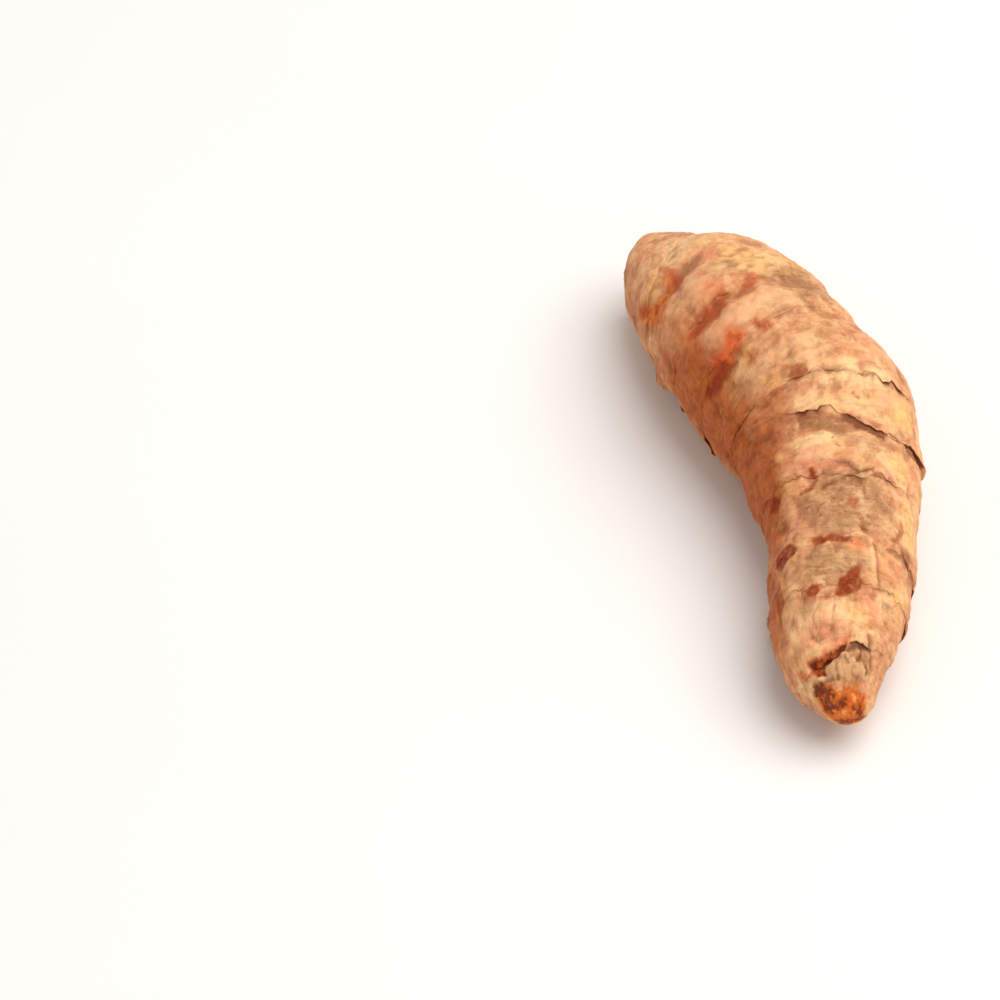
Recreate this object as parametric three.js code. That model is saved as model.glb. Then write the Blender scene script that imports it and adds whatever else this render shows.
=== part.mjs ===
import * as THREE from 'three';

// Turmeric root: one whole finger of the rhizome, in millimetres, Z up, lying on its belly.
// The broken end, where it grew on the mother root, points to +Y and the growing tip to -Y.
// The skin is ringed by the bases of old scale leaves. Each ring is a lip that overlaps the
// next stretch of skin towards the tip, so the skin flares up to every ring and drops after it.

// Driving dimensions

const STATION_GAP = 8.1; // along the axis, from one station to the next
const AXIS = [
  [-13.7, 37.4, 6.1],
  [-10.2, 30.3, 7.3],
  [-5.9, 23.8, 9.4],
  [-2.3, 16.6, 10.6],
  [1.2, 9.4, 10.8],
  [5.1, 2.2, 10.6],
  [6.3, -5.6, 9.4],
  [6.7, -13.6, 8.4],
  [5.9, -21.6, 7.7],
  [5.0, -29.6, 7.0],
  [6.2, -37.4, 5.4],
];
const RADII = [4.4, 6.9, 9.4, 10.6, 10.8, 10.6, 9.5, 8.4, 7.7, 6.0, 3.7];
const LENGTH = STATION_GAP * (AXIS.length - 1);

const ROUNDING = 2.2; // exponent of both rounded ends, where 2 is a circle
const BROKEN_END_ROUND = 5.5; // length over which the broken end rounds off
const TIP_ROUND = 6.5;

const SCAR_AT = 1.5; // the broken face starts here, measured along the axis
const SCAR_DEPTH = 0.7;

// Rings from the broken end to the tip. `at` is the place on the top of the root, `lean` carries
// the ring on along the inner flank and back along the outer one, `bow` carries it on along the
// belly, and `step` is how far the skin drops past the lip.
const RINGS = [
  { at: 10.5, lean: 4.6, bow: 1.0, step: 0.6 },
  { at: 25.6, lean: -0.3, bow: 0.5, step: 0.5 },
  { at: 31.8, lean: 0.0, bow: 0.6, step: 0.55 },
  { at: 40.6, lean: -1.8, bow: 0.6, step: 0.5 },
  { at: 45.7, lean: -3.6, bow: -2.0, step: 0.65 },
  { at: 53.4, lean: -0.8, bow: 0.5, step: 0.4 },
  { at: 62.6, lean: 0.7, bow: 0.2, step: 0.45 },
  { at: 68.2, lean: 0.6, bow: 0.4, step: 0.45 },
  { at: 75.4, lean: 1.3, bow: 0.2, step: 0.55 },
];
const DROP = 0.25; // length over which the skin drops past a lip
const RING_UNEVEN = 0.35; // share of a step that comes and goes round the ring

// Torn pieces of lip that stand out of the outer flank: ring, degrees round the root, height, width
const FLARES = [
  { ring: 4, angle: -80, height: 0.6, width: 4.2 },
  { ring: 6, angle: -86, height: 0.35, width: 3.2 },
];

// A flake of skin that stands up in front of a ring of the outer flank
const FLAKE = { at: 40.0, angle: -65, height: 0.5, length: 2.4, width: 3.0 };

// Resting buds in the axils of the rings, on alternate flanks
const BUDS = [
  { ring: 0, angle: 128 },
  { ring: 1, angle: -104 },
  { ring: 3, angle: -114 },
  { ring: 5, angle: -131 },
  { ring: 6, angle: 128 },
];
const BUD_HEIGHT = 1.3;
const BUD_WIDTH = 4.0;
const BUD_PAST_RING = 2.1;

const TIP_SCALE = { at: 77.3, angle: -6, height: 0.5, length: 2.2, width: 4.0 };

// Low waves of the whole skin: height, waves along the root in radians per millimetre, waves
// round it, and where they start in radians
const LUMPS = [
  { height: 0.16, along: 0.23, round: 2, from: 0.5 },
  { height: 0.1, along: 0.41, round: -3, from: 1.3 },
  { height: 0.07, along: 0.9, round: 1, from: 0 },
];
const NARROW = 4; // below this radius the relief shrinks with the root

const SIDES = 48;
const ROWS = [0, 0.07, 0.22, 0.42, 0.62, 0.8, 0.93, 1]; // share of the stretch between two rings
const TIP_ROWS = [0, 0.1, 0.25, 0.42, 0.58, 0.72, 0.83, 0.91, 0.965];
const SCAR_ROWS = [0.4, 0.75];

// Axis of the root, and the radius of the bare root round it

const axis = new THREE.CatmullRomCurve3(
  AXIS.map(([x, y, z]) => new THREE.Vector3(x, y, z)),
  false,
  'catmullrom',
  0.5,
);

function bareRadius(along) {
  const place = THREE.MathUtils.clamp(along / STATION_GAP, 0, RADII.length - 1.0001);
  const k = Math.floor(place);
  const u = place - k;
  const [p0, p1, p2, p3] = [k - 1, k, k + 1, k + 2].map(
    (i) => RADII[THREE.MathUtils.clamp(i, 0, RADII.length - 1)],
  );
  const slope1 = (p2 - p0) / 2;
  const slope2 = (p3 - p1) / 2;
  const cubic = 2 * p1 - 2 * p2 + slope1 + slope2;
  const square = 3 * p2 - 3 * p1 - 2 * slope1 - slope2;
  const radius = cubic * u ** 3 + square * u ** 2 + slope1 * u + p1;
  return radius * rounded(along / BROKEN_END_ROUND) * rounded((LENGTH - along) / TIP_ROUND);
}

function rounded(share) {
  const left = 1 - THREE.MathUtils.clamp(share, 0, 1);
  return (1 - left ** ROUNDING) ** (1 / ROUNDING);
}

// A point at an angle round the axis: 0 is the top, a quarter turn is the inner flank of the bend

function around(along, angle, radius) {
  const u = THREE.MathUtils.clamp(along / LENGTH, 0, 1);
  const forward = axis.getTangent(u);
  const inward = new THREE.Vector3().crossVectors(forward, new THREE.Vector3(0, 0, 1)).normalize();
  const upward = new THREE.Vector3().crossVectors(inward, forward);
  return axis
    .getPoint(u)
    .addScaledVector(upward, radius * Math.cos(angle))
    .addScaledVector(inward, radius * Math.sin(angle));
}

// Relief of the skin

function angleBetween(a, b) {
  return Math.atan2(Math.sin(a - b), Math.cos(a - b));
}

function mound(along, angle, at, middle, length, width) {
  const across = (angleBetween(angle, middle) * bareRadius(at)) / (width / 2);
  const down = (along - at) / (length / 2);
  return Math.exp(-across * across - down * down);
}

function ringPlace(k, angle) {
  const ring = RINGS[k];
  return ring.at + ring.lean * Math.sin(angle) + (ring.bow * (1 - Math.cos(angle))) / 2;
}

function ringStep(k, angle) {
  const wave = Math.sin(2 * angle + 1.7 * k) + 0.6 * Math.sin(3 * angle + 2.9 * k);
  return RINGS[k].step * (1 + RING_UNEVEN * wave);
}

function flare(k, angle) {
  const here = FLARES.filter((torn) => torn.ring === k);
  return here.reduce((sum, torn) => {
    const middle = THREE.MathUtils.degToRad(torn.angle);
    const across = (angleBetween(angle, middle) * bareRadius(RINGS[k].at)) / (torn.width / 2);
    return sum + torn.height * Math.exp(-across * across);
  }, 0);
}

function lumps(along, angle) {
  return LUMPS.reduce((sum, wave) => {
    return sum + wave.height * Math.sin(wave.along * along + wave.round * angle + wave.from);
  }, 0);
}

function buds(along, angle) {
  return BUDS.reduce((sum, bud) => {
    const middle = THREE.MathUtils.degToRad(bud.angle);
    const at = ringPlace(bud.ring, middle) + BUD_PAST_RING;
    return sum + BUD_HEIGHT * mound(along, angle, at, middle, BUD_WIDTH, BUD_WIDTH);
  }, 0);
}

function raisedPatch(patch, along, angle) {
  const middle = THREE.MathUtils.degToRad(patch.angle);
  return patch.height * mound(along, angle, patch.at, middle, patch.length, patch.width);
}

// Rows of the skin. Stretch k runs from ring k - 1 to ring k, and every row follows the rings.

function skinRow(k, share) {
  const row = [];
  for (let side = 0; side < SIDES; side++) {
    const angle = (side / SIDES) * 2 * Math.PI;
    const start = k > 0 ? ringPlace(k - 1, angle) + DROP : SCAR_AT;
    const end = k < RINGS.length ? ringPlace(k, angle) : LENGTH;
    const along = THREE.MathUtils.lerp(start, end, share);
    const sunk = k > 0 ? 0.5 * ringStep(k - 1, angle) * (1 - share) ** 3 : 0;
    const raised = k < RINGS.length ? (0.5 * ringStep(k, angle) + flare(k, angle)) * share ** 3 : 0;
    const bare = bareRadius(along);
    const fade = Math.min(1, bare / NARROW);
    const patches = raisedPatch(TIP_SCALE, along, angle) + raisedPatch(FLAKE, along, angle);
    const relief = raised - sunk + lumps(along, angle) + buds(along, angle) + patches;
    row.push(around(along, angle, bare + fade * relief));
  }
  return row;
}

function scarRow(share) {
  const row = [];
  for (let side = 0; side < SIDES; side++) {
    const angle = (side / SIDES) * 2 * Math.PI;
    const along = SCAR_AT + SCAR_DEPTH * (1 - share ** 2);
    row.push(around(along, angle, bareRadius(SCAR_AT) * share));
  }
  return row;
}

function skinRows() {
  const rows = SCAR_ROWS.map(scarRow);
  for (let k = 0; k < RINGS.length; k++) {
    rows.push(...ROWS.map((share) => skinRow(k, share)));
  }
  rows.push(...TIP_ROWS.map((share) => skinRow(RINGS.length, share)));
  return rows;
}

// One closed body: a fan at each end and quads between the rows, flat where it rests at Z = 0

function rhizome() {
  const rows = skinRows();
  const points = [around(SCAR_AT + SCAR_DEPTH, 0, 0), ...rows.flat(), around(LENGTH, 0, 0)];
  const last = points.length - 1;
  const corner = (row, side) => 1 + row * SIDES + (side % SIDES);
  const faces = [];
  for (let side = 0; side < SIDES; side++) {
    faces.push(0, corner(0, side + 1), corner(0, side));
    for (let row = 0; row < rows.length - 1; row++) {
      const [a, b] = [corner(row, side), corner(row, side + 1)];
      const [c, d] = [corner(row + 1, side), corner(row + 1, side + 1)];
      faces.push(a, b, c, b, d, c);
    }
    faces.push(last, corner(rows.length - 1, side), corner(rows.length - 1, side + 1));
  }
  const geometry = new THREE.BufferGeometry();
  const positions = points.flatMap((p) => [p.x, p.y, Math.max(p.z, 0)]);
  geometry.setAttribute('position', new THREE.Float32BufferAttribute(positions, 3));
  geometry.setIndex(faces);
  geometry.computeVertexNormals();
  return geometry;
}

const skin = new THREE.MeshStandardMaterial({ color: 0xd9a273, roughness: 0.72, metalness: 0 });
const root = new THREE.Mesh(rhizome(), skin);
root.name = 'rhizome';

const turmericRoot = new THREE.Group();
turmericRoot.add(root);

export default turmericRoot;
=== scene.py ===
"""One finger of fresh turmeric, lying on a pale surface. Lengths in the shape part are millimetres."""
import itertools
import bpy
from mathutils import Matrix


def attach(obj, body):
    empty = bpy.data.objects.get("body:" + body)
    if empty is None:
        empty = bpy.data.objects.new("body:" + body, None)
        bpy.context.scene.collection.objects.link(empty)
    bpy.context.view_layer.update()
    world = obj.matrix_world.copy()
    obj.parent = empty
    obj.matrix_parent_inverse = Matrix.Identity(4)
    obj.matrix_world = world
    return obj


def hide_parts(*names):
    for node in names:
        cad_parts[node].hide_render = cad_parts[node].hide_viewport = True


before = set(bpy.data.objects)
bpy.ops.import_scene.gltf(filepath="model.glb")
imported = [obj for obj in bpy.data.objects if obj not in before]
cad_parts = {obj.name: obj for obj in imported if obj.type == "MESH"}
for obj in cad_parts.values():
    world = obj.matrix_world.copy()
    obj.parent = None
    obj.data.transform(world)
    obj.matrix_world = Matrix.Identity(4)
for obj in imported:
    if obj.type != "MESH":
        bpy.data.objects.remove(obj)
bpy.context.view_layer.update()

from types import SimpleNamespace

import bpy
import numpy as np
from mathutils import Vector

MM = 0.001

# Bare form of the root, as in the part. The broken end is at 0 along the axis.

STATION_GAP = 8.1
AXIS = np.array([
    [-13.7, 37.4, 6.1],
    [-10.2, 30.3, 7.3],
    [-5.9, 23.8, 9.4],
    [-2.3, 16.6, 10.6],
    [1.2, 9.4, 10.8],
    [5.1, 2.2, 10.6],
    [6.3, -5.6, 9.4],
    [6.7, -13.6, 8.4],
    [5.9, -21.6, 7.7],
    [5.0, -29.6, 7.0],
    [6.2, -37.4, 5.4],
])
RADII = np.array([4.4, 6.9, 9.4, 10.6, 10.8, 10.6, 9.5, 8.4, 7.7, 6.0, 3.7])
LENGTH = STATION_GAP * (len(AXIS) - 1)
ROUNDING = 2.2  # exponent of both rounded ends, where 2 is a circle
BROKEN_END_ROUND = 5.5
TIP_ROUND = 6.5
SCAR_AT = 1.5  # the broken face starts here, measured along the axis
SCAR_DEPTH = 0.7

# Rings from the broken end to the tip: place on the top, lean along the inner flank, bow along
# the belly, and height of the step past the lip
RINGS = [
    dict(at=10.5, lean=4.6, bow=1.0, step=0.55),
    dict(at=25.6, lean=-0.3, bow=0.5, step=0.45),
    dict(at=31.8, lean=0.0, bow=0.6, step=0.5),
    dict(at=40.6, lean=-1.8, bow=0.6, step=0.45),
    dict(at=45.7, lean=-3.6, bow=-2.0, step=0.6),
    dict(at=53.4, lean=-0.8, bow=0.5, step=0.35),
    dict(at=62.6, lean=0.7, bow=0.2, step=0.4),
    dict(at=68.2, lean=0.6, bow=0.4, step=0.4),
    dict(at=75.4, lean=1.3, bow=0.2, step=0.5),
]
RING_UNEVEN = 0.35  # share of a step that comes and goes round the ring
WORN_RINGS = {0: 0.3}  # ring, and how much of its sharpness is left

# Where a lip is torn loose and sharp: ring, degrees round the root, spread in degrees, how sharp
LOOSE_LIPS = [
    (3, -40, 10, 0.65), (3, 20, 16, 0.3), (4, 16, 13, 0.5), (4, 0, 8, 0.6), (4, -20, 17, 1),
    (4, -64, 14, 0.6), (5, 0, 12, 0.3), (5, -25, 10, 0.5), (6, -66, 12, 0.15), (6, 50, 10, 0.2),
    (8, 24, 22, 1), (8, -20, 14, 0.5),
]
LIP_THICKNESS = 0.14
UNDER_LIP = 0.75  # how far the skin runs on under a loose lip, as a share of the lip's height
HIGHEST_LIP = 0.6  # past this height it runs on no farther

# Torn pieces of lip that stand out of the outer flank: ring, degrees round the root, height, width
FLARES = [(4, -80, 0.5, 3.8), (6, -84, 0.2, 3.2)]

# Resting buds: ring, degrees round the root
BUDS = [(0, 128), (1, -104), (3, -114), (5, -131), (6, 128)]
BUD_HEIGHT = 1.3
BUD_WIDTH = 4.0
BUD_PAST_RING = 2.1
BUD_SCALE_ENDS = (0.28, 0.6, 0.84)  # shares of a bud's height where one of its scales ends

# Low waves of the whole skin: height, waves along the root in radians per millimetre, waves
# round it, and where they start in radians
LUMPS = [(0.16, 0.23, 2, 0.5), (0.1, 0.41, -3, 1.3), (0.07, 0.9, 1, 0.0)]
NARROW = 3.5  # below this radius the relief shrinks with the root

# Heights and depths of the fine relief
FINE_RINGS = 0.06
FIBRES = 0.04
TIP_FIBRES = 0.05  # added to that in front of the tip
BUMPS = 0.34
CRINKLE = 0.12
LAYERS = 0.08
BUD_LINES = 0.14
SCAR_RIMS = 0.1
SCARRED = 0.08
GROOVES = 0.07
STAINED = 0.06
TIP_SCALE_HEIGHT = 0.4
TIP_WRINKLES = 0.28
TIP_GRAINS = 0.36
TIP_WORN = 0.12
PIT_DEPTH = 0.55

SIDES = 210
ROW_GAP = 0.225  # mean distance between rows of the fine skin
MORE_ROWS = 6  # added to every stretch between two rings
CROWDING = 0.62  # how much closer together the rows are at both ends of a stretch
FAR_OFF = 99.0  # stands for the distance to a ring that isn't there

PHOTO_SIDE = 10  # degrees round the root, the middle of the side that the photograph shows

# Every noise has a number of its own, which is added to SEED. These shape the rings.
SEED = 7
WANDERING, RAGGED, NOTCHED, BROKEN_OFF, LOOSENED, FRAYED = range(50, 151, 20)


def blend_stations(values, place, open_end):
    """Uniform Catmull-Rom through the stations. Past the ends it mirrors, or holds the last value."""
    first = 2 * values[0] - values[1] if open_end else values[0]
    last = 2 * values[-1] - values[-2] if open_end else values[-1]
    padded = np.concatenate([[first], values, [last]])
    place = np.clip(place, 0, len(values) - 1.0001)
    k = place.astype(int)
    u = place - k
    if values.ndim > 1:
        u = u[..., None]
    p0, p1, p2, p3 = (padded[k + i] for i in range(4))
    slope1, slope2 = (p2 - p0) / 2, (p3 - p1) / 2
    cubic = 2 * p1 - 2 * p2 + slope1 + slope2
    square = 3 * p2 - 3 * p1 - 2 * slope1 - slope2
    return cubic * u**3 + square * u**2 + slope1 * u + p1


def rounded(share):
    left = 1 - np.clip(share, 0, 1)
    return (1 - left**ROUNDING) ** (1 / ROUNDING)


def bare_radius(along):
    ends = rounded(along / BROKEN_END_ROUND) * rounded((LENGTH - along) / TIP_ROUND)
    return blend_stations(RADII, along / STATION_GAP, False) * ends


def around(along, angle, radius):
    """Points at an angle round the axis: 0 is the top, a quarter turn is the inner flank of the bend."""
    along = np.clip(along, 0, LENGTH)
    reach = 0.01
    ahead = blend_stations(AXIS, np.minimum(along + reach, LENGTH) / STATION_GAP, True)
    behind = blend_stations(AXIS, np.maximum(along - reach, 0) / STATION_GAP, True)
    forward = ahead - behind
    forward /= np.linalg.norm(forward, axis=-1, keepdims=True)
    inward = np.cross(forward, [0.0, 0.0, 1.0])
    inward /= np.linalg.norm(inward, axis=-1, keepdims=True)
    upward = np.cross(inward, forward)
    out = upward * np.cos(angle)[..., None] + inward * np.sin(angle)[..., None]
    return blend_stations(AXIS, along / STATION_GAP, True) + radius[..., None] * out


# Seeded noise in millimetres


def lattice(ix, iy, iz, number):
    """A chance value from -1 to 1 at each corner of a grid."""
    n = ix * np.int64(374761393) + iy * np.int64(668265263) + iz * np.int64(1440662683)
    n = n + (SEED + number) * 974634777
    n = (n ^ (n >> 13)) * np.int64(1274126177)
    n = n ^ (n >> 16)
    return (n & 0xFFFFF) / float(0xFFFFF) * 2 - 1


def noise(points, size, number):
    """Smooth noise from -1 to 1. size is the size of its spots along the three axes."""
    q = points / np.asarray(size, float)
    cell = np.floor(q).astype(np.int64)
    f = q - cell
    f = f * f * f * (f * (f * 6 - 15) + 10)
    total = 0
    for corner in itertools.product((0, 1), repeat=3):
        x, y, z = (f[..., axis] if far else 1 - f[..., axis] for axis, far in enumerate(corner))
        at_corner = (cell[..., axis] + far for axis, far in enumerate(corner))
        total = total + x * y * z * lattice(*at_corner, number)
    return total


def fractal(points, size, number, octaves, roughness):
    """Noise on noise, each half as coarse as the last and roughness times as strong."""
    size = np.asarray(size, float) * np.ones(3)
    total, weight, scale = 0, 0, 1.0
    for k in range(octaves):
        total = total + scale * noise(points + 17.3 * k, size / 2**k, number + 31 * k)
        weight += scale
        scale *= roughness
    return total / weight * 1.6


def ramp(low, high, value):
    """Goes smoothly from 0 at low to 1 at high, also where low is the larger of the two."""
    t = np.clip((value - low) / (high - low), 0, 1)
    return t * t * (3 - 2 * t)


def bell(value):
    """1 at zero, and less and less on both sides of it."""
    return np.exp(-(value**2))


def turn_between(a, b):
    """The angle from b to a, by the shorter way round."""
    return np.arctan2(np.sin(a - b), np.cos(a - b))


def arc(angle, degrees, at):
    """Distance round the bare root from a place given in degrees, in mm."""
    return turn_between(angle, np.radians(degrees)) * bare_radius(np.array(float(at)))


def mound(along, angle, at, degrees, length, width):
    """A soft bump of the given length along the root and width round it."""
    return bell(arc(angle, degrees, at) / (width / 2)) * bell((along - at) / (length / 2))


def straight(along, angle, radius):
    """The same place on the root as if it were unbent, for noise that follows its growth."""
    return np.stack([along, radius * np.cos(angle), radius * np.sin(angle)], -1)


def unseen(angle, low, high):
    """0 on the side that the photograph shows and 1 on the other, with low and high in degrees."""
    return ramp(low, high, np.abs(np.degrees(turn_between(angle, np.radians(PHOTO_SIDE)))))


def lumps(along, angle):
    return sum(
        height * np.sin(waves_along * along + waves_round * angle + start)
        for height, waves_along, waves_round, start in LUMPS
    )


# Rings


def ring_place(k, angle):
    ring = RINGS[k]
    return ring["at"] + ring["lean"] * np.sin(angle) + ring["bow"] * (1 - np.cos(angle)) / 2


def ring_noise(k, angle, size, number, octaves):
    apart = 40.0
    place = straight(np.full_like(angle, apart * k), angle, bare_radius(ring_place(k, angle)))
    return fractal(place, size, number + k, octaves, 0.55)


def ring_edge(k, angle):
    """The ring's torn lip: it wanders, and breaks back in a few short notches."""
    wander = 0.35 * ring_noise(k, angle, 5.0, WANDERING, 3)
    ragged = 0.4 * ring_noise(k, angle, 1.1, RAGGED, 4)
    notch = 0.4 * ramp(0.2, 0.5, ring_noise(k, angle, 1.6, NOTCHED, 2))
    return ring_place(k, angle) + wander + ragged - notch


def ring_step(k, angle):
    wave = np.sin(2 * angle + 1.7 * k) + 0.6 * np.sin(3 * angle + 2.9 * k)
    broken = np.clip(0.9 + 0.6 * ring_noise(k, angle, 3.4, BROKEN_OFF, 3), 0.2, 1.5)
    return RINGS[k]["step"] * (1 + RING_UNEVEN * wave) * broken


def ring_sharpness(k, angle):
    """0 where the ring is a soft groove, 1 where its lip stands loose. By chance on the side that
    the photograph doesn't show, and soft on the belly."""
    sharp = 0.9 * unseen(angle, 97, 116) * ramp(-0.5, 0.2, ring_noise(k, angle, 6.0, LOOSENED, 2))
    for ring, degrees, spread, strength in LOOSE_LIPS:
        if ring == k:
            off = turn_between(angle, np.radians(degrees)) / np.radians(spread)
            sharp = np.maximum(sharp, strength * np.exp(-(off**4)))
    frayed = 0.8 + 0.7 * ring_noise(k, angle, 1.4, FRAYED, 3)
    belly = ramp(0.62, 0.9, -np.cos(angle))
    return np.clip(WORN_RINGS.get(k, 1.0) * sharp * frayed, 0, 1) * (1 - belly)


def ring_flare(k, angle):
    """How far torn pieces of the lip stand out."""
    out = np.zeros_like(angle)
    for ring, degrees, height, width in FLARES:
        if ring == k:
            out += height * bell(arc(angle, degrees, RINGS[k]["at"]) / (width / 2))
    return out


def ring_lip(k, angle):
    """What the rows beside ring k need: loose is how high its lip stands loose, and under is how
    far the skin runs on under it."""
    step = ring_step(k, angle)
    sharp = ring_sharpness(k, angle)
    loose = step * sharp
    under = UNDER_LIP * np.minimum(HIGHEST_LIP, loose)
    edge = ring_edge(k, angle)
    flare = ring_flare(k, angle)
    return SimpleNamespace(edge=edge, step=step, sharp=sharp, flare=flare, loose=loose, under=under)


def stretch_shares(start, end, crowded):
    """Where the rows lie between two rings, as shares of the stretch. Crowded ones are closer
    together at both ends of it."""
    fine = np.linspace(0, 1, 2000)
    along = start + (end - start) * fine
    steps = np.hypot(np.diff(along), np.diff(bare_radius(along)))
    travelled = np.concatenate([[0], np.cumsum(steps)])
    u = np.linspace(0, 1, int(travelled[-1] / ROW_GAP) + MORE_ROWS)
    if crowded:
        u = u - CROWDING * np.sin(2 * np.pi * u) / (2 * np.pi)
    return np.interp(u, travelled / travelled[-1], fine)


def skin_rows():
    """Every row of the skin: place along, relief of the rings, distance past the last lip and before
    the next one, how deep it hides under a lip, and how high the lip before it stands loose."""
    angle = np.arange(SIDES) / SIDES * 2 * np.pi
    nothing = 0 * angle
    lips = [None, *(ring_lip(k, angle) for k in range(len(RINGS))), None]
    rows = []

    def row(*values):
        rows.append([np.broadcast_to(value, angle.shape) for value in values])

    for lip, next_lip in zip(lips, lips[1:]):
        start = lip.edge - lip.under + 0.06 if lip else SCAR_AT + nothing
        end = next_lip.edge if next_lip else LENGTH + nothing
        shares = stretch_shares(start.mean(), end.mean(), bool(next_lip))
        for share in shares if next_lip else shares[:-1]:
            along = start + (end - start) * share
            relief, past, before, hidden, near = nothing, FAR_OFF, FAR_OFF, nothing, nothing
            if lip:
                past = along - lip.edge
                soft = 1 - (1 - lip.sharp) * np.exp(-np.maximum(past, 0) / 1.1)
                relief = relief - 0.45 * lip.step * (1 - share) ** 3 * soft
                near = lip.loose
                hidden = ramp(0.4, -0.05, past) * ramp(0.04, 0.22, near)
            if next_lip:
                before = end - along
                soft = 1 - (1 - next_lip.sharp) * np.exp(-before / 0.9)
                swell = 0.3 * share**3 + 0.25 * np.exp(-before / 1.1)
                relief = relief + next_lip.step * swell * soft + next_lip.flare * share**4
            row(along, relief, past, before, hidden, near)
        if next_lip:
            # The edge of the lip and its underside, back to where the next stretch starts
            loose = next_lip.loose
            top = 0.55 * loose + next_lip.flare
            thick = np.minimum(LIP_THICKNESS, 0.4 * loose)
            row(end + 0.03, top - 0.6 * thick, 0, 0, 0.3, loose)
            row(end + 0.02, top - thick, 0, 0, 0.7, loose)
            row(end + 0.04 - 0.6 * next_lip.under, top - thick - 0.25 * loose, 0, 0, 1, loose)
    return angle, [np.array(column) for column in zip(*rows)]


# Where the photograph shows marks on the skin. Places are millimetres along the root, and degrees
# round it from the top towards the inner flank.

# Soft spots of colour: along, degrees, length, width, strength
PINK_SPOTS = [
    (51.4, 27, 4, 5.6, 0.6), (59.5, 28, 4.5, 6, 0.6), (28.6, 30, 2.6, 8, 0.8),
    (23.4, 30, 3, 6, 0.5), (73, 16, 2.6, 2.2, 0.8), (73.6, 34, 1.8, 2, 0.7), (61, -26, 3, 3, 0.6),
    (65, -44, 3, 4, 0.5), (9, 30, 6, 6, 0.4), (36.5, -30, 3, 4, 0.4), (43, -2, 1.6, 5, 0.4),
    (56.2, -33, 2.2, 3.4, 0.5), (18, 20, 5, 5, 0.5), (70.5, -28, 2.4, 2.4, 0.6),
    (47.2, 24, 1.2, 2.4, 0.7), (57, 14, 3, 2.4, 0.7),
]
PALE_SPOTS = [
    (25, -20, 5, 5, 0.5), (37.5, 8, 4, 7, 0.5), (43.2, 14, 1.8, 7, 0.8), (46.2, -40, 3, 2.2, 0.7),
    (51, -28, 2.2, 3.4, 0.5), (71.2, -5, 2.6, 2.6, 1), (71.6, 14, 2.2, 3.6, 0.7),
    (48.8, 20, 2.4, 5, 1), (11, 8, 6, 6, 0.7), (41.6, -16, 3.4, 8, 1), (46, -46, 3, 4, 0.7),
    (48.6, -5, 1.8, 5, 0.6), (22.1, 0, 4, 6, 0.6), (74, 30, 2.4, 2.6, 0.7), (72, 44, 3.4, 3, 0.8),
    (68.4, 46, 3, 2, 0.5), (30, -2, 3, 6, 0.4), (61, 0, 1.6, 2, 0.6), (58, -60, 8, 4, 0.6),
    (69, -44, 2.6, 2.6, 0.8), (74.5, -26, 3, 3, 0.6), (34.4, 60, 2.2, 3.6, 0.5),
    (14.4, 22, 3, 5, 0.8), (12.5, 14, 3, 4, 1), (29, 20, 2.4, 5, 0.6), (46, -68, 3, 2, 0.9),
    (44.2, 4, 1, 9, 0.7), (40.5, 4, 1.6, 6, 0.5), (61.6, 26, 1.4, 3, 0.5),
]
YELLOW_SPOTS = [
    (44.8, -47, 3.4, 3.6, 1), (51.4, -45, 3.4, 3.6, 0.9), (58, -55, 5, 3, 0.9),
    (21.8, -15, 6, 10, 0.9), (33.6, 46, 4, 5, 0.6), (38.6, 34, 3, 3, 0.6), (53.6, 46, 3, 4, 0.5),
    (56.2, 8, 3, 3, 0.5), (14.6, 25, 3, 5, 0.3), (69, 60, 5, 3, 0.6), (43.4, -6, 2, 8, 0.5),
    (67.4, -62, 4, 3, 0.8), (71.4, -16, 2.6, 3, 0.7), (14.6, 62, 3, 6, 0.6),
]
GREY_SPOTS = [
    (49.6, -20, 3.2, 5, 0.6), (57.6, 3, 9, 10, 1), (27, -28, 6, 8, 0.9), (31, -7, 4, 6, 0.5),
    (36, -9, 3, 6, 0.45), (65.6, -5, 3, 4, 0.9), (60.3, 6, 1.6, 4.4, 0.5), (29.5, -16, 4, 5, 0.3),
    (36, 40, 3.4, 4.6, 0.4), (8, -4, 3, 3, 0.4), (59.6, -30, 3, 3, 0.6), (66.4, 34, 3, 3, 0.6),
    (70.6, 34, 2.4, 2, 0.4), (22, 12, 3, 4, 0.5), (76.5, 62, 1.6, 1.6, 0.6),
]
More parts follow.
